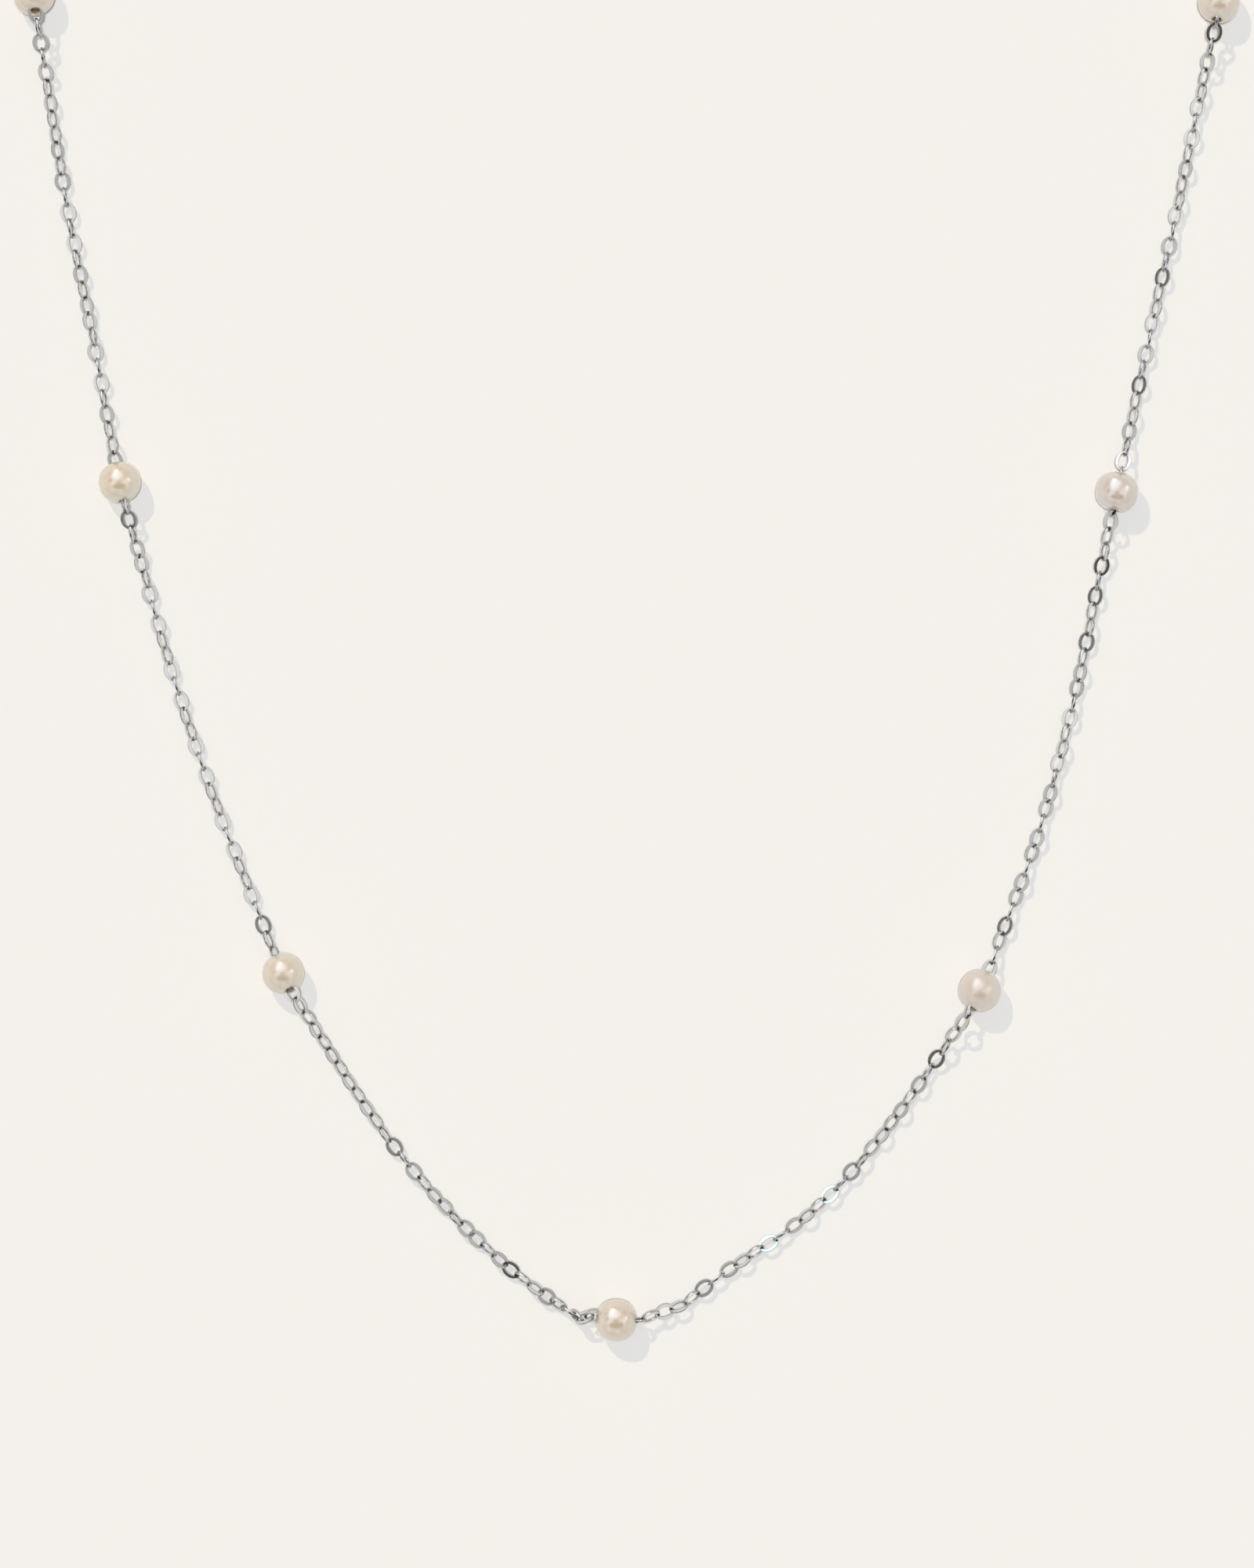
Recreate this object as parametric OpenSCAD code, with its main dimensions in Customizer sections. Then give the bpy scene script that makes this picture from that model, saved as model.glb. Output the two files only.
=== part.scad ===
// A station necklace lying in its loop: nine pearls threaded on a fine cable chain of flat oval links,
// closed by a plain barrel clasp. The surface it lies on is z = 0, +Z is up, and +Y runs from the
// centre pearl to the clasp. The origin is under the middle of the loop.

/* [Loop] */
// Width of the loop between the chain's centre lines, at its widest
loop_w = 112; // [96:1:135]
// Length of the loop, from the centre pearl's middle to the clasp's middle
loop_h = 178; // [148:1:214]

/* [Chain] */
// Width of a link, and so the thickness of the chain
link_w = 1.55; // [1.25:0.05:1.9]
// Run of the chain for each millimetre that it comes down to the surface
ramp_run = 2.5; // [2:0.1:4]

/* [Pearls] */
// Diameter of a pearl
pearl_d = 4; // [3.3:0.1:5]
// Clearance all round the chain in a pearl's bore
bore_gap = 0.06; // [0.04:0.01:0.12]
// Width of the worn slope around each mouth of a bore
mouth_wear = 0.1; // [0.05:0.01:0.15]

/* [Clasp] */
// Diameter of the barrel
barrel_d = 3.2; // [2.6:0.1:3.9]
// Length of the barrel between its domed ends
barrel_l = 4.6; // [3.8:0.1:5.6]
// Diameter of the hole in each soldered eye
eye_hole = 1.1; // [0.9:0.05:1.3]
// Thickness of an eye's wire
eye_wire = 0.5; // [0.4:0.05:0.6]
// Depth to which an eye is soldered into the barrel's end
eye_sink = 0.3; // [0.25:0.05:0.4]
// Space between an eye and the end of the chain's own thickness
end_gap = 0.2; // [0.1:0.05:0.4]

/* [Hidden] */
$fn = 64;
SIDES = 8;

// The chain's route, from the clasp's left eye down the left side, round the centre pearl and up the
// right side. Each row is [x as a share of half the loop's width, y as a share of its length], and a
// row with a pearl adds how many degrees the bore climbs along the route.
ROUTE = [
    [-0.375, 0.975],
    [-0.656, 0.923, 5],
    [-0.855, 0.862],
    [-0.942, 0.816],
    [-0.999, 0.746],
    [-0.990, 0.696, 33],
    [-0.942, 0.596],
    [-0.895, 0.520],
    [-0.847, 0.440, 16],
    [-0.777, 0.358],
    [-0.697, 0.280],
    [-0.574, 0.182, 30],
    [-0.472, 0.129],
    [-0.329, 0.068],
    [-0.155, 0.017],
    [-0.018, 0.000, 0],
    [0.122, 0.015],
    [0.320, 0.060],
    [0.478, 0.119],
    [0.589, 0.173, -20],
    [0.685, 0.253],
    [0.751, 0.331],
    [0.818, 0.435, -8],
    [0.873, 0.516],
    [0.925, 0.592],
    [0.988, 0.692, -26],
    [0.997, 0.743],
    [0.939, 0.813],
    [0.852, 0.858],
    [0.652, 0.920, -5],
    [0.373, 0.972],
];

chain_z = link_w / 2;
pearl_z = pearl_d / 2;
barrel_z = barrel_d / 2;
middle_y = (loop_h + barrel_z - pearl_z) / 2;
bore_r = link_w / 2 + bore_gap;
eye_x = (barrel_l + barrel_d + eye_hole) / 2 + eye_wire - eye_sink;
chain_end_x = eye_x + eye_hole / 2 + eye_wire + end_gap;

function unit(v) = v / norm(v);
function spot(row) = [row.x * loop_w / 2, row.y * loop_h - middle_y];

// The two ends of the chain, which stand level with the clasp's eyes
LEFT_END = [-chain_end_x, loop_h - middle_y, barrel_z];
RIGHT_END = [chain_end_x, loop_h - middle_y, barrel_z];

// Where the chain is at each row, seen from above, with its two ends
SPOTS = concat([[LEFT_END.x, LEFT_END.y]], [for (row = ROUTE) spot(row)], [[RIGHT_END.x, RIGHT_END.y]]);

// The rows that hold a pearl, counted as in SPOTS
PEARL_ROWS = [for (i = [0:len(ROUTE) - 1]) if (len(ROUTE[i]) == 3) i + 1];

// A pearl's bore points from the spot before it to the spot after it, and climbs by its pitch
function bore_pitch(i) = ROUTE[i - 1].z;
function bore_heading(i) = let (way = SPOTS[i + 1] - SPOTS[i - 1]) atan2(way.y, way.x);
function bore_axis(i) =
    let (heading = bore_heading(i), pitch = bore_pitch(i))
    [cos(heading) * cos(pitch), sin(heading) * cos(pitch), sin(pitch)];
function pearl_middle(i) = [SPOTS[i].x, SPOTS[i].y, pearl_z];
function mouth(i, end) = pearl_middle(i) + end * pearl_d / 2 * bore_axis(i);

// The chain comes down from a mouth or an eye on a smooth step that ends level on the surface
function step_down(share) = share * share * (3 - 2 * share);
function ramp(start, to) =
    let (drop = start.z - chain_z, run = ramp_run * abs(drop) + link_w)
    let (along = unit(to - [start.x, start.y]) * run)
    [for (share = [0.5, 1]) start + [along.x * share, along.y * share, -drop * step_down(share)]];
function reversed(list) = [for (i = [len(list) - 1:-1:0]) list[i]];
function way_at(i) =
    len(ROUTE[i - 1]) == 3
    ? concat(
        reversed(ramp(mouth(i, -1), SPOTS[i - 1])),
        [mouth(i, -1), mouth(i, 1)],
        ramp(mouth(i, 1), SPOTS[i + 1]))
    : [[SPOTS[i].x, SPOTS[i].y, chain_z]];

// The centre line of the chain, from end to end
WAY = concat(
    [LEFT_END],
    ramp(LEFT_END, SPOTS[1]),
    [for (i = [1:len(ROUTE)]) each way_at(i)],
    reversed(ramp(RIGHT_END, SPOTS[len(ROUTE)])),
    [RIGHT_END]);

// A ring of the tube lies square to the mean of the two directions that meet there
function leg(i) = unit(WAY[i + 1] - WAY[i]);
function direction(i) = unit(leg(max(i - 1, 0)) + leg(min(i, len(WAY) - 2)));
function ring(i) =
    let (ahead = direction(i), side = unit(cross(ahead, [0, 0, 1])), up = cross(side, ahead))
    [for (k = [0:SIDES - 1]) let (turn = k * 360 / SIDES)
        WAY[i] + link_w / 2 * (cos(turn) * side + sin(turn) * up)];

// The whole run of links as one tube of their full thickness
module chain() {
    last = (len(WAY) - 1) * SIDES;
    walls = [
        for (r = [0:len(WAY) - 2], k = [0:SIDES - 1])
            let (next = (k + 1) % SIDES)
            [r * SIDES + k, r * SIDES + next, (r + 1) * SIDES + next, (r + 1) * SIDES + k]
    ];
    first_cap = [for (k = [SIDES - 1:-1:0]) k];
    last_cap = [for (k = [0:SIDES - 1]) last + k];
    color("silver")
        polyhedron(
            points = [for (i = [0:len(WAY) - 1]) each ring(i)],
            faces = concat([first_cap, last_cap], walls));
}

// Half the outline of a drilled pearl, with Y along its bore and the edge of each mouth worn to a slope
module pearl_outline() {
    mouth_r = bore_r + mouth_wear;
    mouth_y = sqrt(pow(pearl_d / 2, 2) - pow(mouth_r, 2));
    difference() {
        circle(d = pearl_d);
        translate([bore_r - pearl_d, -pearl_d])
            square([pearl_d, 2 * pearl_d]);
        for (side = [0, 1])
            mirror([0, side])
                translate([bore_r, mouth_y - mouth_wear])
                    polygon([[0, 0], [2 * mouth_wear, 2 * mouth_wear], [0, 2 * mouth_wear]]);
    }
}

// A round pearl drilled along X
module drilled_pearl() {
    rotate([0, 90, 0])
        rotate_extrude()
            pearl_outline();
}

// The pearls count from the clasp's left eye, and pearl_5 is the centre one
module pearl(n) {
    i = PEARL_ROWS[n - 1];
    color("linen")
        translate(pearl_middle(i))
            rotate([0, -bore_pitch(i), bore_heading(i)])
                drilled_pearl();
}

// A closed barrel clasp with a soldered eye at each end, where the chain's end links are caught
module clasp() {
    color("silver")
        translate([0, loop_h - middle_y, barrel_z]) {
            rotate([0, 90, 0])
                cylinder(h = barrel_l, d = barrel_d, center = true);
            for (end = [-1, 1]) {
                translate([end * barrel_l / 2, 0, 0])
                    sphere(d = barrel_d);
                translate([end * eye_x, 0, 0])
                    rotate_extrude()
                        translate([(eye_hole + eye_wire) / 2, 0])
                            circle(d = eye_wire);
            }
        }
}

chain();
clasp();
for (n = [1:len(PEARL_ROWS)])
    pearl(n);
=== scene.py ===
# A station necklace lying in its loop on a plain pale surface, seen from straight above.

import math

import bmesh
import bpy
import numpy as np
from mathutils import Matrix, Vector


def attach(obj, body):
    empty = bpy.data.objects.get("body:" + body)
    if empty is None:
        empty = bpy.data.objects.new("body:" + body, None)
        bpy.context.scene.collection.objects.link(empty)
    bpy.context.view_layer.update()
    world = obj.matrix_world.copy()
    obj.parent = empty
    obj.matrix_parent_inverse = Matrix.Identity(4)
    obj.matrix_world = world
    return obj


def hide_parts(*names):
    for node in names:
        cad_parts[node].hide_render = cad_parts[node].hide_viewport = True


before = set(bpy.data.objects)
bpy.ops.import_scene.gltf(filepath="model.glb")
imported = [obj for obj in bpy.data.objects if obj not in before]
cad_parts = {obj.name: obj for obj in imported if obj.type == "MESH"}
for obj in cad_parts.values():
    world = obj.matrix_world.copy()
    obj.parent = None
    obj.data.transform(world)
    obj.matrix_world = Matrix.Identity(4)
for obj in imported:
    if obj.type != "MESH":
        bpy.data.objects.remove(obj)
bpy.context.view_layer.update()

MM = 0.001

# The view from straight above, square to the surface. The picture takes in 146.5 mm of it from top to
# bottom, and its middle lies below the middle of the loop. The height is from the pearls' middles.
VIEW_HEIGHT = 146.5 * MM
VIEW_CENTRE_Y = -38.67 * MM
CAMERA_HEIGHT = 1.0
PEARLS_LEVEL = 2 * MM
SENSOR = 36.0

camera_data = bpy.data.cameras.new("camera")
camera_data.sensor_fit = "VERTICAL"
camera_data.sensor_width = SENSOR
camera_data.sensor_height = SENSOR
camera_data.lens = SENSOR * CAMERA_HEIGHT / VIEW_HEIGHT
camera = bpy.data.objects.new("camera", camera_data)
camera.location = (0, VIEW_CENTRE_Y, CAMERA_HEIGHT + PEARLS_LEVEL)
bpy.context.scene.collection.objects.link(camera)
bpy.context.scene.camera = camera
bpy.context.scene.view_settings.view_transform = "Standard"


def add_node(tree, kind, inputs=(), **settings):
    """Adds a node with its settings, and sets each input or joins another node's output to it."""
    node = tree.nodes.new(kind)
    for name, value in settings.items():
        setattr(node, name, value)
    for name, value in dict(inputs).items():
        if isinstance(value, bpy.types.NodeSocket):
            tree.links.new(value, node.inputs[name])
        else:
            node.inputs[name].default_value = value
    return node


def from_angles(off_zenith, azimuth):
    """The direction that far from straight up, turned that far from +X towards +Y."""
    tilt = math.radians(off_zenith)
    turn = math.radians(azimuth)
    return Vector((math.sin(tilt) * math.cos(turn), math.sin(tilt) * math.sin(turn), math.cos(tilt)))


# The studio light. A small hard lamp stands to the upper left, a ring lamp round the lens fills in from
# straight above, and a wide soft light does the rest. What gloss mirrors is a studio of its own, with
# pale walls that are a little uneven, a dark circle round the lens and the patches listed below.
LAMPS = (
    ("key_lamp", from_angles(42, 122.3), 0.76, 1.5, (1.0, 0.84, 0.52)),
    ("ring_lamp", from_angles(0, 0), 1.65, 5.0, (1, 1, 1)),
)
SOFT_ABOVE = (0.455, 0.455, 0.455, 1)
SOFT_LEVEL = (0.14, 0.14, 0.14, 1)
LENS = (0.02, 0.02, 0.02, 1)
CEILING = (0.30, 0.30, 0.295, 1)
WALLS = (0.66, 0.66, 0.655, 1)
FLOOR_LINE = (0.7, 0.69, 0.67, 1)

# The mirrored studio's colour at so many degrees from straight up
DOME = ((75, WALLS), (15, WALLS), (7, CEILING), (4, CEILING), (1.5, LENS))

# The patches on it: the middle of each, its colour, and the degrees from there at which it begins and is
# full. They are a pale band on either side, four dark patches, the white panel with a pink glow and a
# cyan one, its bright far end, and a narrow strip to the right.
PATCHES = (
    (from_angles(34, 180), (0.98, 0.98, 0.975, 1), 23, 11),
    (from_angles(39, 0), (1.0, 1.0, 1.0, 1), 23, 11),
    (from_angles(50, 166), (0.18, 0.18, 0.18, 1), 11, 5),
    (from_angles(30, -130), (0.12, 0.11, 0.1, 1), 16, 10),
    (from_angles(24, -88), (0.12, 0.11, 0.1, 1), 21, 14),
    (from_angles(30, -46), (0.12, 0.11, 0.1, 1), 16, 10),
    (from_angles(38, 112), (1.13, 1.14, 1.15, 1), 32, 18),
    (from_angles(40, 82), (1.6, 1.15, 1.35, 1), 18, 5),
    (from_angles(40, 112), (1.35, 1.43, 1.52, 1), 26, 10),
    (from_angles(45, 121), (1.4, 1.85, 2.1, 1), 19, 5),
    (from_angles(62, 106), (2.3, 2.35, 2.38, 1), 15, 6),
    (from_angles(56, 17), (2.1, 2.0, 1.85, 1), 10, 4),
)

for name, way, energy, angle, colour in LAMPS:
    lamp_data = bpy.data.lights.new(name, "SUN")
    lamp_data.energy = energy
    lamp_data.angle = math.radians(angle)
    lamp_data.color = colour
    lamp = bpy.data.objects.new(name, lamp_data)
    lamp.rotation_mode = "QUATERNION"
    lamp.rotation_quaternion = (-way).to_track_quat("-Z", "Y")
    lamp.visible_glossy = False
    bpy.context.scene.collection.objects.link(lamp)

world = bpy.data.worlds.new("studio")
world.use_nodes = True
world.cycles.sampling_method = "NONE"
bpy.context.scene.world = world
studio = world.node_tree
studio.nodes.clear()
sky_way = add_node(studio, "ShaderNodeTexCoord").outputs["Generated"]
height = add_node(studio, "ShaderNodeSeparateXYZ", {0: sky_way}).outputs["Z"]
soft = add_node(studio, "ShaderNodeMix", {0: height, 6: SOFT_LEVEL, 7: SOFT_ABOVE}, data_type="RGBA")
dome = add_node(studio, "ShaderNodeValToRGB", {0: height})
dome.color_ramp.elements[0].position = 0.0
dome.color_ramp.elements[0].color = FLOOR_LINE
dome.color_ramp.elements[1].position = 1.0
dome.color_ramp.elements[1].color = LENS
for off_zenith, colour in DOME:
    dome.color_ramp.elements.new(math.cos(math.radians(off_zenith))).color = colour
unevenness = add_node(studio, "ShaderNodeTexNoise", {"Vector": sky_way, "Scale": 2.6, "Detail": 2.0})
uneven = add_node(studio, "ShaderNodeMapRange", {
    "Value": unevenness.outputs["Fac"],
    "From Min": 0.35, "From Max": 0.65, "To Min": 0.72, "To Max": 1.25})
mirrored = add_node(studio, "ShaderNodeVectorMath", {
    0: dome.outputs["Color"], "Scale": uneven.outputs["Result"]}, operation="SCALE").outputs["Vector"]
for way, colour, edge, core in PATCHES:
    nearness = add_node(studio, "ShaderNodeVectorMath", {0: sky_way, 1: way}, operation="DOT_PRODUCT")
    glow = add_node(studio, "ShaderNodeMapRange", {
        "Value": nearness.outputs["Value"],
        "From Min": math.cos(math.radians(edge)),
        "From Max": math.cos(math.radians(core))}, interpolation_type="SMOOTHSTEP")
    mirrored = add_node(studio, "ShaderNodeMix", {
        0: glow.outputs["Result"], 6: mirrored, 7: colour}, data_type="RGBA").outputs[2]
seen_by = add_node(studio, "ShaderNodeLightPath")
shown = add_node(studio, "ShaderNodeMix", {
    0: seen_by.outputs["Is Glossy Ray"], 6: soft.outputs[2], 7: mirrored}, data_type="RGBA").outputs[2]
background = add_node(studio, "ShaderNodeBackground", {"Color": shown, "Strength": 1.0})
add_node(studio, "ShaderNodeOutputWorld", {"Surface": background.outputs["Background"]})

# The surface that it lies on is a plain sheet of white card with a faint tooth, which looks warm only
# where the lamp to the upper left reaches it.
SHEET_SIDE = 4.0
CARD = (0.86, 0.86, 0.86, 1)

card = bpy.data.materials.new("white_card")
card.use_nodes = True
card_tree = card.node_tree
card_shader = card_tree.nodes["Principled BSDF"]
card_shader.inputs["Base Color"].default_value = CARD
card_shader.inputs["Roughness"].default_value = 0.75
card_shader.inputs["Specular IOR Level"].default_value = 0.2
card_way = add_node(card_tree, "ShaderNodeTexCoord").outputs["Object"]
tooth = add_node(card_tree, "ShaderNodeTexNoise", {"Vector": card_way, "Scale": 2500.0, "Detail": 3.0})
card_bump = add_node(card_tree, "ShaderNodeBump", {
    "Height": tooth.outputs["Fac"], "Strength": 0.04, "Distance": 0.02 * MM})
card_tree.links.new(card_bump.outputs["Normal"], card_shader.inputs["Normal"])
half_side = SHEET_SIDE / 2
sheet_mesh = bpy.data.meshes.new("surface")
sheet_mesh.from_pydata([(-half_side, -half_side, 0), (half_side, -half_side, 0),
                        (half_side, half_side, 0), (-half_side, half_side, 0)], [], [(0, 1, 2, 3)])
sheet_mesh.materials.append(card)
surface = bpy.data.objects.new("surface", sheet_mesh)
bpy.context.scene.collection.objects.link(surface)

# Nine round freshwater pearls of 4 mm, each drilled right through so that the chain passes inside it.
# They are nacre, cream with a rosy or golden cast, lustrous and not quite true, and the mouths of their
# bores are worn to the raw honey-coloured layer below. They stand at even stations along the chain.
LOOP_WIDTH = 112.0
LOOP_LENGTH = 178.0
MIDDLE_Y = 88.8
PEARL_RADIUS = 2.0
BORE_RADIUS = 0.43

# The route from the clasp's left eye round the centre pearl to its right eye, as shares of the loop's
# half width and of its length. A row with a pearl adds how many degrees its bore climbs.
ROUTE = (
    (-0.375, 0.975), (-0.656, 0.923, 5), (-0.855, 0.862), (-0.942, 0.816), (-0.999, 0.746),
    (-0.990, 0.696, 33), (-0.942, 0.596), (-0.895, 0.520), (-0.847, 0.440, 16), (-0.777, 0.358),
    (-0.697, 0.280), (-0.574, 0.182, 30), (-0.472, 0.129), (-0.329, 0.068), (-0.155, 0.017),
    (-0.018, 0.000, 0), (0.122, 0.015), (0.320, 0.060), (0.478, 0.119), (0.589, 0.173, -20),
    (0.685, 0.253), (0.751, 0.331), (0.818, 0.435, -8), (0.873, 0.516), (0.925, 0.592),
    (0.988, 0.692, -26), (0.997, 0.743), (0.939, 0.813), (0.852, 0.858), (0.652, 0.920, -5),
    (0.373, 0.972),
)
route_spots = [Vector((row[0] * LOOP_WIDTH / 2, row[1] * LOOP_LENGTH - MIDDLE_Y)) for row in ROUTE]
pearl_rows = [i for i, row in enumerate(ROUTE) if len(row) == 3]


def bore_axis(i):
    """The way a pearl's bore points: from the spot before it to the spot after it, and up its pitch."""
    level = (route_spots[i + 1] - route_spots[i - 1]).normalized()
    pitch = math.radians(ROUTE[i][2])
    return Vector((level.x * math.cos(pitch), level.y * math.cos(pitch), math.sin(pitch)))


def pearl_middle(i):
    return Vector((route_spots[i].x, route_spots[i].y, PEARL_RADIUS))


def turned(outline, sides, closed):
    """Turns an outline of (along, out) points about X. Returns the points and the faces between them."""
    spots = []
    rings = []
    for along, out in outline:
        if out == 0:
            rings.append([len(spots)] * sides)
            spots.append((along, 0, 0))
            continue
        rings.append([len(spots) + k for k in range(sides)])
        for k in range(sides):
            turn = 2 * math.pi * k / sides
            spots.append((along, out * math.cos(turn), out * math.sin(turn)))
    pairs = list(zip(rings, rings[1:] + rings[:1])) if closed else list(zip(rings, rings[1:]))
    faces = []
    for ring, after in pairs:
        for k in range(sides):
            n = (k + 1) % sides
            corners = [ring[k], ring[n], after[n], after[k]]
            faces.append(tuple(dict.fromkeys(corners)))
    return spots, faces


def new_piece(name, mesh):
    """Puts a finished mesh in the scene, with its faces pointing outwards."""
    shell = bmesh.new()
    shell.from_mesh(mesh)
    bmesh.ops.recalc_face_normals(shell, faces=shell.faces)
    shell.to_mesh(mesh)
    shell.free()
    piece = bpy.data.objects.new(name, mesh)
    bpy.context.scene.collection.objects.link(piece)
    return piece


# Each pearl's length along its bore and width across it, how square its outline is, its cast from 0,
# rosy grey, to 1, golden cream, and how dull its skin is
PEARLS = (
    (3.92, 3.96, 2.05, 0.5, 0.2), (3.90, 3.96, 2.10, 0.6, 0.3), (3.84, 3.97, 2.10, 0.9, 0.2),
    (3.92, 3.93, 2.00, 0.75, 0.4), (3.86, 4.00, 2.16, 0.6, 0.1), (4.00, 4.00, 2.04, 0.15, 1.0),
    (3.66, 3.99, 2.4, 0.0, 0.0), (3.92, 3.95, 2.08, 0.45, 0.3), (3.94, 3.97, 2.05, 0.65, 0.2),
)
PEARL_RINGS = 44
PEARL_SIDES = 56

# The worn lip of a bore: its width, how many rings of the skin it reaches over and how worn the skin is
# at its edge, then the wall inside it, as how far in and how far out each ring lies and how far its colour
# goes from the worn raw lip towards the painted shade deep in the bore
LIP = 0.05
WORN_RINGS = 2
EDGE_WEAR = 0.5
BORE_WALL = ((0.4 * LIP, 0.35 * LIP, 0.8), (LIP, 0, 1))

# The lumps of a pearl's skin: the size of each, and how many waves it makes around and along the bore
LUMPS = ((1.0, 2, 0), (0.6, 3, 2), (0.5, 0, 7), (0.4, 1, 11))
LUMP_DEPTH = 0.0022
luck = np.random.default_rng(417)


def pearl_mesh(name, length, width, square):
    """A pearl about X: its outside from mouth to mouth, then back along the wall of its bore."""
    mouth_turn = math.asin((BORE_RADIUS + LIP) / (width / 2))
    outline = []
    wear_and_shade = []
    for k in range(PEARL_RINGS):
        turn = mouth_turn + (math.pi - 2 * mouth_turn) * k / (PEARL_RINGS - 1)
        along, out = math.cos(turn), math.sin(turn)
        reach = (abs(along) ** square + out ** square) ** (-1 / square)
        outline.append((along * reach * length / 2, out * reach * width / 2))
        from_mouth = min(k, PEARL_RINGS - 1 - k)
        wear_and_shade.append(EDGE_WEAR * max(0.0, 1 - from_mouth / WORN_RINGS))
    mouth_at = outline[0][0]
    near_wall = [(mouth_at - inwards, BORE_RADIUS + out, worn_and_shaded) for inwards, out, worn_and_shaded in BORE_WALL]
    far_wall = [(-along, out, worn_and_shaded) for along, out, worn_and_shaded in near_wall]
    for along, out, worn_and_shaded in far_wall + [(0, BORE_RADIUS, 1)] + near_wall[::-1]:
        outline.append((along, out))
        wear_and_shade.append(worn_and_shaded)
    spots, faces = turned(outline, PEARL_SIDES, True)
    points = np.array(spots)
    around = np.arctan2(points[:, 2], points[:, 1])
    along = points[:, 0] / (length / 2)
    phases = luck.uniform(0, 2 * math.pi, len(LUMPS))
    lumps = sum(size * (1 + np.sin(waves_around * around + waves_along * along + phase))
                for (size, waves_around, waves_along), phase in zip(LUMPS, phases))
    bored = np.repeat(np.array(wear_and_shade), PEARL_SIDES)
    points *= (1 - LUMP_DEPTH * lumps * (bored == 0))[:, None]
    mesh = bpy.data.meshes.new(name)
    mesh.from_pydata((points * MM).tolist(), [], faces)
    mesh.attributes.new("bored", "FLOAT", "POINT").data.foreach_set("value", bored)
    mesh.shade_smooth()
    return mesh


# Clouds of a colour or a polish: a value from 0 to 1 that drifts over a surface, and a fine grain
clouds = bpy.data.node_groups.new("clouds", "ShaderNodeTree")
for socket, default in (("Size", 1.0), ("Grain Size", 0.1)):
    made = clouds.interface.new_socket(name=socket, in_out="INPUT", socket_type="NodeSocketFloat")
    made.default_value = default
for socket in ("Cloud", "Grain"):
    clouds.interface.new_socket(name=socket, in_out="OUTPUT", socket_type="NodeSocketFloat")
clouds_in = add_node(clouds, "NodeGroupInput")
clouds_way = add_node(clouds, "ShaderNodeTexCoord").outputs["Object"]
clouds_out = add_node(clouds, "NodeGroupOutput")
for size, name, detail in (("Size", "Cloud", 3.0), ("Grain Size", "Grain", 2.0)):
    scale = add_node(clouds, "ShaderNodeMath", {
        0: 1000.0, 1: clouds_in.outputs[size]}, operation="DIVIDE")
    noise = add_node(clouds, "ShaderNodeTexNoise", {
        "Vector": clouds_way, "Scale": scale.outputs[0], "Detail": detail, "Roughness": 0.5})
    spread = add_node(clouds, "ShaderNodeMapRange", {
        "Value": noise.outputs["Fac"], "From Min": 0.3, "From Max": 0.7})
    clouds.links.new(spread.outputs["Result"], clouds_out.inputs[name])

# Nacre: a soft deep body under a clear skin, paler in clouds, raw honey brown at the worn mouths of its
# bores, and darker deep inside them, which is painted shade
NACRE_ROSE = (0.71, 0.59, 0.515, 1)
NACRE_GOLD = (0.785, 0.635, 0.44, 1)
NACRE_PALE = (0.785, 0.705, 0.595, 1)
PALE_SHARE = 0.45
RAW_LIP = (0.50, 0.36, 0.16, 1)
RAW_LIP_AT = 0.55
# The wall deep inside a bore, darkened with painted shade
RAW_BORE_AND_SHADE = (0.30, 0.22, 0.13, 1)
SKIN = (
    ("IOR", 2.2), ("Specular IOR Level", 1.0), ("Specular Tint", (0.82, 0.92, 1.0, 1)), ("Metallic", 0.1),
    ("Coat Weight", 1.0), ("Coat IOR", 1.6),
    ("Subsurface Weight", 0.6), ("Subsurface Radius", (1.0, 0.8, 0.6)), ("Subsurface Scale", 1.2 * MM),
    ("Sheen Weight", 0.12), ("Sheen Roughness", 0.4), ("Sheen Tint", (1.0, 0.95, 0.93, 1)),
)

# How rough the body and the clear skin are on a polished pearl and on a dull one
ROUGHNESSES = (("Roughness", 0.2, 0.32), ("Coat Roughness", 0.17, 0.34))


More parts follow.
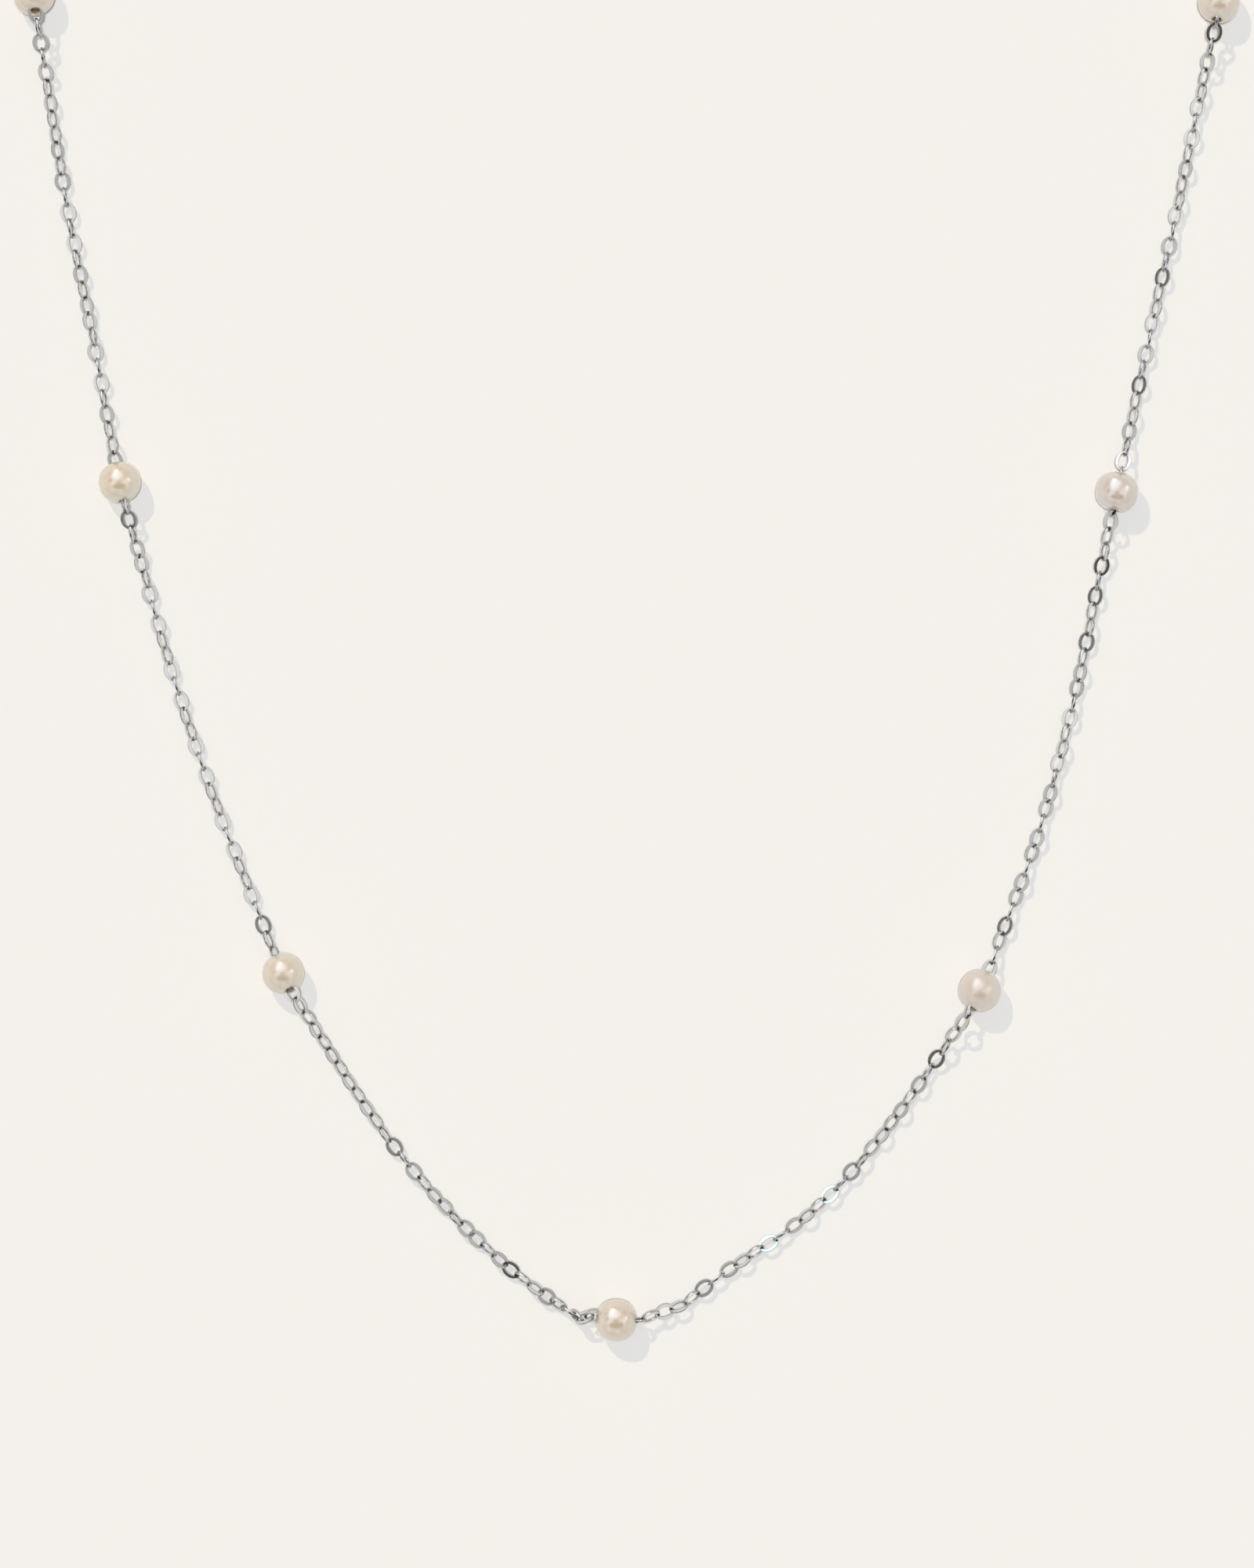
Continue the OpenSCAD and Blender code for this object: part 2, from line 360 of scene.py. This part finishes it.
def nacre_material(name, cast, dull):
    """The nacre of one pearl, with its own cast and its own polish."""
    nacre = bpy.data.materials.new(name)
    nacre.use_nodes = True
    tree = nacre.node_tree
    shader = tree.nodes["Principled BSDF"]
    for socket, value in SKIN:
        shader.inputs[socket].default_value = value
    for socket, polished, dulled in ROUGHNESSES:
        shader.inputs[socket].default_value = polished + (dulled - polished) * dull
    cast_colour = [rose + (gold - rose) * cast for rose, gold in zip(NACRE_ROSE, NACRE_GOLD)]
    drift = add_node(tree, "ShaderNodeGroup", {"Size": 2.2, "Grain Size": 0.9}, node_tree=clouds)
    pale_share = add_node(tree, "ShaderNodeMath", {
        0: drift.outputs["Cloud"], 1: PALE_SHARE}, operation="MULTIPLY").outputs[0]
    body = add_node(tree, "ShaderNodeMix", {
        0: pale_share, 6: cast_colour, 7: NACRE_PALE}, data_type="RGBA").outputs[2]
    bored = add_node(tree, "ShaderNodeAttribute", attribute_name="bored").outputs["Fac"]
    # The colour from the skin through the worn raw lip to the painted shade deep inside the bore
    raw_and_shade = add_node(tree, "ShaderNodeValToRGB", {0: bored})
    raw_and_shade.color_ramp.elements[0].color = NACRE_GOLD
    raw_and_shade.color_ramp.elements[1].color = RAW_BORE_AND_SHADE
    raw_and_shade.color_ramp.elements.new(RAW_LIP_AT).color = RAW_LIP
    raw_and_shade_share = add_node(tree, "ShaderNodeMapRange", {
        "Value": bored, "From Min": 0.0, "From Max": EDGE_WEAR}).outputs["Result"]
    body = add_node(tree, "ShaderNodeMix", {
        0: raw_and_shade_share, 6: body, 7: raw_and_shade.outputs["Color"]}, data_type="RGBA").outputs[2]
    tree.links.new(body, shader.inputs["Base Color"])
    bump = add_node(tree, "ShaderNodeBump", {
        "Height": drift.outputs["Grain"], "Strength": 0.2, "Distance": 0.006 * MM})
    tree.links.new(bump.outputs["Normal"], shader.inputs["Normal"])
    return nacre


for number, (row, (length, width, square, cast, dull)) in enumerate(zip(pearl_rows, PEARLS), start=1):
    node = f"pearl_{number}"
    mesh = pearl_mesh(f"drilled_{node}", length, width, square)
    seat = Vector((1, 0, 0)).rotation_difference(bore_axis(row)).to_matrix().to_4x4()
    seat.translation = pearl_middle(row) * MM
    mesh.transform(seat)
    mesh.materials.append(nacre_material(f"nacre_{number}", cast, dull))
    piece = new_piece(f"drilled_{node}", mesh)
    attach(piece, "root")
    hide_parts(node)

# The chain: 310 flat oval links of polished white metal, 2 mm long, each passed through the next and
# soldered shut. It runs through the pearls' bores in one length, lies in slow twists, and its end links
# are caught in the clasp's eyes.
CHAIN_HEIGHT = 0.775
CHAIN_WIDTH = 1.55
RAMP_RUN = 2.5
LINK_LENGTH = 2.0
LINK_WIDTH = 1.55
END_BAND = 0.26
SIDE_BAND = 0.36
LINK_THICKNESS = 0.22
LINK_EDGE = 0.04
# How far a painted dark reflection darkens the links' rims
RIM_SHADE = 0.55
LINK_SIDES = 16
PITCH = 1.475
EYE_JOINT = 5.2
BARREL_HEIGHT = 1.6
LINE_POINTS = 600

# How far past each pearl's middle the two links inside its bore meet, and how far down the y axis the
# chain sags aside after it, in millimetres
JOINT_SHIFTS = (0, 1.4, 0, 0, -0.37, 0.11, -0.70, -0.95, 0)
SAGS = (0, 0, 0, 0, -0.75, 0, 0, 0, 0)

# Just before the centre pearl the chain is slack and bunches up. These are the spots that it passes
# there, from the pearl's middle, and as (link, share) how much of a full pitch each link takes.
BUNCHED_AT = 4
BUNCH = (
    (-6.38, 2.12, -1.22), (-5.41, 1.32, -1.2), (-4.19, 0.74, -1.0), (-3.66, 0.13, -0.5),
    (-3.08, 0.18, 0.12), (-2.25, 0.48, 0.1),
)
SLACK = (
    (17, 1.0), (18, 0.96), (26, 0.96), (27, 0.88), (28, 0.88), (29, 0.8), (30, 0.7), (31, 0.7),
    (32, 0.65), (33, 0.85),
)
TAUT = ((0, 1.0),)

# For each stretch from one pearl to the next, how many links it has and how the chain twists along it,
# as (link, degrees). The two hidden stretches at either end have as many links as fill them.
TWISTS = (
    (None, ((0, 90), (40, 150))),
    (None, ((0, 20), (30, 160))),
    (31, (
        (0, -20), (3, 2), (4, 25), (6, 36), (10, 52), (11, 82), (13, 102), (14, 104), (16, 115),
        (19, 127), (20, 142), (22, 172), (23, 177), (24, 192), (26, 210), (27, 215), (29, 240))),
    (33, (
        (1, -23), (2, 3), (4, 30), (5, 55), (7, 78), (8, 90), (13, 180), (18, 270), (23, 360),
        (28, 450), (29, 453), (31, 507))),
    (34, (
        (0, -81), (1, -78), (2, -45), (11, -45), (12, -64), (13, -81), (14, -102), (15, -110),
        (16, -128), (17, -132), (18, -145), (19, -155), (20, -202), (21, -250), (22, -295),
        (23, -310), (24, -340), (25, -390), (26, -410), (27, -456), (28, -490), (29, -540),
        (30, -485), (31, -500), (33, -510))),
    (33, (
        (1, -170), (2, -125), (3, -80), (4, -50), (5, -38), (6, -7), (7, 2), (9, 40), (11, 68),
        (12, 85), (13, 123), (15, 142), (17, 168), (18, 172), (19, 197), (20, 218), (22, 225),
        (25, 240), (27, 264.8), (29, 308), (31, 330))),
    (33, (
        (1, -118), (2, -87), (3, -55), (4, -25), (5, 0), (8, 90), (11, 178), (14, 262), (16, 310),
        (18, 345), (19, 365), (21, 412), (22, 420), (23, 445), (24, 480), (26, 513), (28, 547),
        (29, 570), (31, 600))),
    (32, (
        (1, -178), (2, -184), (3, -160), (4, -152), (5, -142), (7, -118), (9, -100), (10, -85),
        (12, -50), (14, -25), (16, -10), (18, 18), (20, 48), (22, 57), (24, 85), (26, 125),
        (28, 152), (30, 180))),
    (None, ((0, 20), (30, 160))),
    (None, ((0, 150), (40, 90))),
)


def ramp(start, towards):
    """The chain's smooth step down from a mouth or an eye onto the surface, on its way to a spot."""
    drop = start.z - CHAIN_HEIGHT
    reach = RAMP_RUN * abs(drop) + CHAIN_WIDTH
    ahead = (towards - start.to_2d()).normalized() * reach
    return [start + Vector((ahead.x * s, ahead.y * s, -drop * s * s * (3 - 2 * s))) for s in (0.5, 1)]


def smooth_line(knots):
    """Many points on a smooth curve through the knots, nowhere below the height that the chain lies at."""
    knots = np.array([tuple(knot) for knot in knots])
    reach = np.linalg.norm(np.diff(knots, axis=0), axis=1)
    slope = np.diff(knots, axis=0) / reach[:, None]
    inner = (slope[:-1] * reach[1:, None] + slope[1:] * reach[:-1, None]) / (reach[1:] + reach[:-1])[:, None]
    tangent = np.vstack([slope[:1], inner, slope[-1:]])
    start = np.concatenate([[0], np.cumsum(reach)])
    where = np.linspace(0, start[-1], LINE_POINTS)
    i = np.clip(np.searchsorted(start, where, side="right") - 1, 0, len(reach) - 1)
    h = reach[i][:, None]
    u = (where - start[i])[:, None] / h
    line = ((2 * u ** 3 - 3 * u ** 2 + 1) * knots[i] + (u ** 3 - 2 * u ** 2 + u) * h * tangent[i]
            + (3 * u ** 2 - 2 * u ** 3) * knots[i + 1] + (u ** 3 - u ** 2) * h * tangent[i + 1])
    line[:, 2] = np.maximum(line[:, 2], CHAIN_HEIGHT)
    return line


def distances(line):
    """How far along a line each of its points lies."""
    return np.concatenate([[0], np.cumsum(np.linalg.norm(np.diff(line, axis=0), axis=1))])


def link_joints(line, links, slack):
    """Where each of that many links along a line begins, each as long as its share says."""
    gone = distances(line)
    shares = np.interp(np.arange(links), *zip(*slack))
    starts = np.concatenate([[0], np.cumsum(shares)]) * gone[-1] / shares.sum()
    return np.stack([np.interp(starts, gone, line[:, axis]) for axis in range(3)], axis=1)


barrel_y = LOOP_LENGTH - MIDDLE_Y
stretches = []
knots = [Vector((-EYE_JOINT, barrel_y, BARREL_HEIGHT))]
knots += ramp(knots[0], route_spots[0])
for i, spot in enumerate(route_spots):
    if i not in pearl_rows:
        knots.append(Vector((spot.x, spot.y, CHAIN_HEIGHT)))
        continue
    station = pearl_rows.index(i)
    middle = pearl_middle(i)
    axis = bore_axis(i)
    joint = middle + axis * JOINT_SHIFTS[station]
    sag = Vector((0, SAGS[station]))
    before = middle - axis * PEARL_RADIUS
    after = middle + axis * PEARL_RADIUS
    way_in = ramp(before, route_spots[i - 1])[::-1] + [before]
    if station == BUNCHED_AT:
        way_in = [middle + Vector(step) for step in BUNCH]
    stretches.append(knots + way_in + [joint])
    knots = [joint, after] + ramp(after, route_spots[i + 1] + sag)
right_eye = Vector((EYE_JOINT, barrel_y, BARREL_HEIGHT))
stretches.append(knots + ramp(right_eye, route_spots[-1])[::-1] + [right_eye])

joints = []
joint_pairs = []
twists = []
places = []
for stretch, (way, (count, chart)) in enumerate(zip(stretches, TWISTS)):
    line = smooth_line(way)
    if count is None:
        count = round(float(distances(line)[-1]) / PITCH)
    spots = link_joints(line, count, SLACK if stretch == BUNCHED_AT else TAUT)
    joint_pairs += [(len(joints) + k, len(joints) + k + 1) for k in range(count)]
    joints += (spots * MM).tolist()
    chart_at, chart_turn = zip(*chart)
    twists += np.radians(np.interp(np.arange(count), chart_at, chart_turn)).tolist()
    places += list(range(count))

route_mesh = bpy.data.meshes.new("chain_route")
route_mesh.from_pydata(joints, joint_pairs, [])
route_mesh.attributes.new("twist", "FLOAT", "EDGE").data.foreach_set("value", twists)
route_mesh.attributes.new("place", "INT", "EDGE").data.foreach_set("value", places)
chain = bpy.data.objects.new("link_chain", route_mesh)
bpy.context.scene.collection.objects.link(chain)


def link_mesh():
    """One link lying flat about the origin, its length along X: two flat faces and two rounded edges."""
    outer = (LINK_LENGTH / 2, LINK_WIDTH / 2)
    inner = (outer[0] - END_BAND, outer[1] - SIDE_BAND)
    half = LINK_THICKNESS / 2
    section = ((outer, 0, 0), (outer, -LINK_EDGE, half), (inner, LINK_EDGE, half),
               (inner, 0, 0), (inner, LINK_EDGE, -half), (outer, -LINK_EDGE, -half))
    corners = len(section)
    rims = (0, 3)
    inner_corners = (2, 3, 4)
    spots = []
    painted_shade = []
    for k in range(LINK_SIDES):
        turn = 2 * math.pi * k / LINK_SIDES
        for corner, ((a, b), grow, lift) in enumerate(section):
            spots.append(((a + grow) * math.cos(turn) * MM, (b + grow) * math.sin(turn) * MM, lift * MM))
            # Painted shade darkens the inner ends where the next link passes through, and a painted dark
            # reflection the rims
            joint_shade = math.cos(turn) ** 4 if corner in inner_corners else 0.0
            painted_shade.append(max(joint_shade, RIM_SHADE if corner in rims else 0.0))
    faces = []
    for k in range(LINK_SIDES):
        here = k * corners
        after = (k + 1) % LINK_SIDES * corners
        for j in range(corners):
            n = (j + 1) % corners
            faces.append((here + j, after + j, after + n, here + n))
    mesh = bpy.data.meshes.new("link")
    mesh.from_pydata(spots, [], faces)
    mesh.shade_smooth()
    sharp = []
    for edge in mesh.edges:
        start, end = (vertex % corners for vertex in edge.vertices)
        sharp.append(start == end and start not in rims)
    mesh.attributes.new("sharp_edge", "BOOLEAN", "EDGE").data.foreach_set("value", sharp)
    mesh.attributes.new("painted_shade", "FLOAT", "POINT").data.foreach_set("value", painted_shade)
    return mesh


link = new_piece("link", link_mesh())

# Polished white metal with fine wear, painted shade where each link passes through the next, and a painted
# dark reflection along the links' rims
WHITE_METAL = (0.71, 0.71, 0.705, 1)
LINK_SHADE = (0.11, 0.105, 0.10, 1)

silver = bpy.data.materials.new("polished_silver")
silver.use_nodes = True
silver_tree = silver.node_tree
silver_shader = silver_tree.nodes["Principled BSDF"]
silver_shader.inputs["Metallic"].default_value = 1.0
silver_cloud = add_node(silver_tree, "ShaderNodeGroup", {"Size": 0.9, "Grain Size": 0.12}, node_tree=clouds)
silver_dull = add_node(silver_tree, "ShaderNodeMapRange", {
    "Value": silver_cloud.outputs["Grain"], "To Min": 0.07, "To Max": 0.16}).outputs["Result"]
silver_tree.links.new(silver_dull, silver_shader.inputs["Roughness"])
# The painted shade and painted dark reflection mix the metal towards a dark colour
painted_shade_amount = add_node(silver_tree, "ShaderNodeAttribute", attribute_name="painted_shade").outputs["Fac"]
silver_colour = add_node(silver_tree, "ShaderNodeMix", {
    0: painted_shade_amount, 6: WHITE_METAL, 7: LINK_SHADE}, data_type="RGBA").outputs[2]
silver_tree.links.new(silver_colour, silver_shader.inputs["Base Color"])
silver_bump = add_node(silver_tree, "ShaderNodeBump", {
    "Height": silver_cloud.outputs["Cloud"], "Strength": 0.07, "Distance": 0.02 * MM})
silver_tree.links.new(silver_bump.outputs["Normal"], silver_shader.inputs["Normal"])

# The links are set one on each edge of the route, every one a quarter turn on from the last, with a
# little play of its own
threading = bpy.data.node_groups.new("links_on_route", "GeometryNodeTree")
threading.is_modifier = True
for name, kind in (("Route", "Geometry"), ("Link", "Object"), ("Metal", "Material"),
                   ("Turn Of Next", "Float"), ("Play", "Float"), ("Seed", "Int")):
    threading.interface.new_socket(name=name, in_out="INPUT", socket_type=f"NodeSocket{kind}")
threading.interface.new_socket(name="Chain", in_out="OUTPUT", socket_type="NodeSocketGeometry")
given = add_node(threading, "NodeGroupInput")
edge_ends = add_node(threading, "GeometryNodeInputMeshEdgeVertices")
span = add_node(threading, "ShaderNodeVectorMath", {
    0: edge_ends.outputs["Position 2"], 1: edge_ends.outputs["Position 1"]}, operation="SUBTRACT")
spanned = add_node(threading, "GeometryNodeCaptureAttribute", {
    "Geometry": given.outputs["Route"]}, domain="EDGE")
spanned.capture_items.new("VECTOR", "Span")
threading.links.new(span.outputs["Vector"], spanned.inputs["Span"])
seats = add_node(threading, "GeometryNodeMeshToPoints", {"Mesh": spanned.outputs["Geometry"]}, mode="EDGES")
twist = add_node(threading, "GeometryNodeInputNamedAttribute", {"Name": "twist"}, data_type="FLOAT")
place = add_node(threading, "GeometryNodeInputNamedAttribute", {"Name": "place"}, data_type="INT")
turned_on = add_node(threading, "ShaderNodeMath", {
    0: place.outputs["Attribute"], 1: given.outputs["Turn Of Next"],
    2: twist.outputs["Attribute"]}, operation="MULTIPLY_ADD")
play = add_node(threading, "FunctionNodeRandomValue", {"Seed": given.outputs["Seed"]}, data_type="FLOAT")
play.inputs[2].default_value = -1.0
play.inputs[3].default_value = 1.0
roll = add_node(threading, "ShaderNodeMath", {
    0: play.outputs[1], 1: given.outputs["Play"], 2: turned_on.outputs[0]}, operation="MULTIPLY_ADD")
flat_up = add_node(threading, "ShaderNodeVectorRotate", {
    "Vector": (0, 0, 1), "Center": (0, 0, 0), "Axis": spanned.outputs["Span"], "Angle": roll.outputs[0]},
    rotation_type="AXIS_ANGLE")
laid = add_node(threading, "FunctionNodeAxesToRotation", {
    "Primary Axis": spanned.outputs["Span"], "Secondary Axis": flat_up.outputs["Vector"]},
    primary_axis="X", secondary_axis="Z")
one_link = add_node(threading, "GeometryNodeObjectInfo", {"Object": given.outputs["Link"]})
threaded = add_node(threading, "GeometryNodeInstanceOnPoints", {
    "Points": seats.outputs["Points"], "Instance": one_link.outputs["Geometry"],
    "Rotation": laid.outputs["Rotation"]})
real = add_node(threading, "GeometryNodeRealizeInstances", {"Geometry": threaded.outputs["Instances"]})
finished = add_node(threading, "GeometryNodeSetMaterial", {
    "Geometry": real.outputs["Geometry"], "Material": given.outputs["Metal"]})
add_node(threading, "NodeGroupOutput", {"Chain": finished.outputs["Geometry"]})

on_route = chain.modifiers.new("links", "NODES")
on_route.node_group = threading
chain_inputs = {
    "Link": link, "Metal": silver,
    "Turn Of Next": math.radians(90), "Play": math.radians(2.5), "Seed": 9,
}
for item in threading.interface.items_tree:
    if item.in_out == "INPUT" and item.name in chain_inputs:
        on_route[item.identifier] = chain_inputs[item.name]
graph = bpy.context.evaluated_depsgraph_get()
chain_mesh = bpy.data.meshes.new_from_object(chain.evaluated_get(graph), depsgraph=graph)
chain.modifiers.clear()
chain.data = chain_mesh
bpy.data.objects.remove(link)
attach(chain, "root")
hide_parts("chain")

# The clasp is a plain closed barrel of the same metal, turned in two halves that meet at a fine line.
# A soldered eye at each end lies flat, and the chain's end links are caught in them.
BARREL_RADIUS = 1.6
BARREL_LENGTH = 4.6
BARREL_SIDES = 48
DOME_STEPS = 12
DOME_TRIM = 0.97
EYE_CENTRE = 4.65
EYE_HOLE = 1.1
EYE_WIRE = 0.5
EYE_SIDES = 36
WIRE_SIDES = 14

# The barrel's outline between its domed ends: a sunk band on each half, and the line where they meet
BARREL_OUTLINE = (
    (-2.25, 1.595), (-1.95, 1.595), (-1.9, 1.53), (-0.62, 1.53), (-0.57, 1.595), (-0.12, 1.595),
    (-0.06, 1.57), (-0.03, 1.48), (0.03, 1.48), (0.06, 1.57), (0.12, 1.595), (0.57, 1.595),
    (0.62, 1.53), (1.9, 1.53), (1.95, 1.595), (2.25, 1.595),
)

dome_outline = [(-BARREL_LENGTH / 2 - BARREL_RADIUS, 0)]
for k in range(1, DOME_STEPS + 1):
    turn = math.radians(90 * k / DOME_STEPS)
    dome_outline.append((-BARREL_LENGTH / 2 - BARREL_RADIUS * math.cos(turn),
                         DOME_TRIM * BARREL_RADIUS * math.sin(turn)))
other_dome = [(-along, out) for along, out in dome_outline[::-1]]
clasp_spots, clasp_faces = turned(dome_outline + list(BARREL_OUTLINE) + other_dome, BARREL_SIDES, False)

eye_outline = []
for k in range(WIRE_SIDES):
    turn = 2 * math.pi * k / WIRE_SIDES
    eye_outline.append((EYE_WIRE / 2 * math.sin(turn), (EYE_HOLE + EYE_WIRE + EYE_WIRE * math.cos(turn)) / 2))
eye_spots, eye_faces = turned(eye_outline, EYE_SIDES, True)
for end in (-1, 1):
    first = len(clasp_spots)
    clasp_spots += [(end * EYE_CENTRE + y, z, x) for x, y, z in eye_spots]
    clasp_faces += [tuple(first + v for v in face) for face in eye_faces]

clasp_mesh = bpy.data.meshes.new("barrel_clasp")
clasp_mesh.from_pydata([(x * MM, (y + barrel_y) * MM, (z + BARREL_HEIGHT) * MM) for x, y, z in clasp_spots],
                       [], clasp_faces)
clasp_mesh.materials.append(silver)
clasp = new_piece("barrel_clasp", clasp_mesh)
clasp_mesh.shade_smooth()
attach(clasp, "root")
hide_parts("clasp")
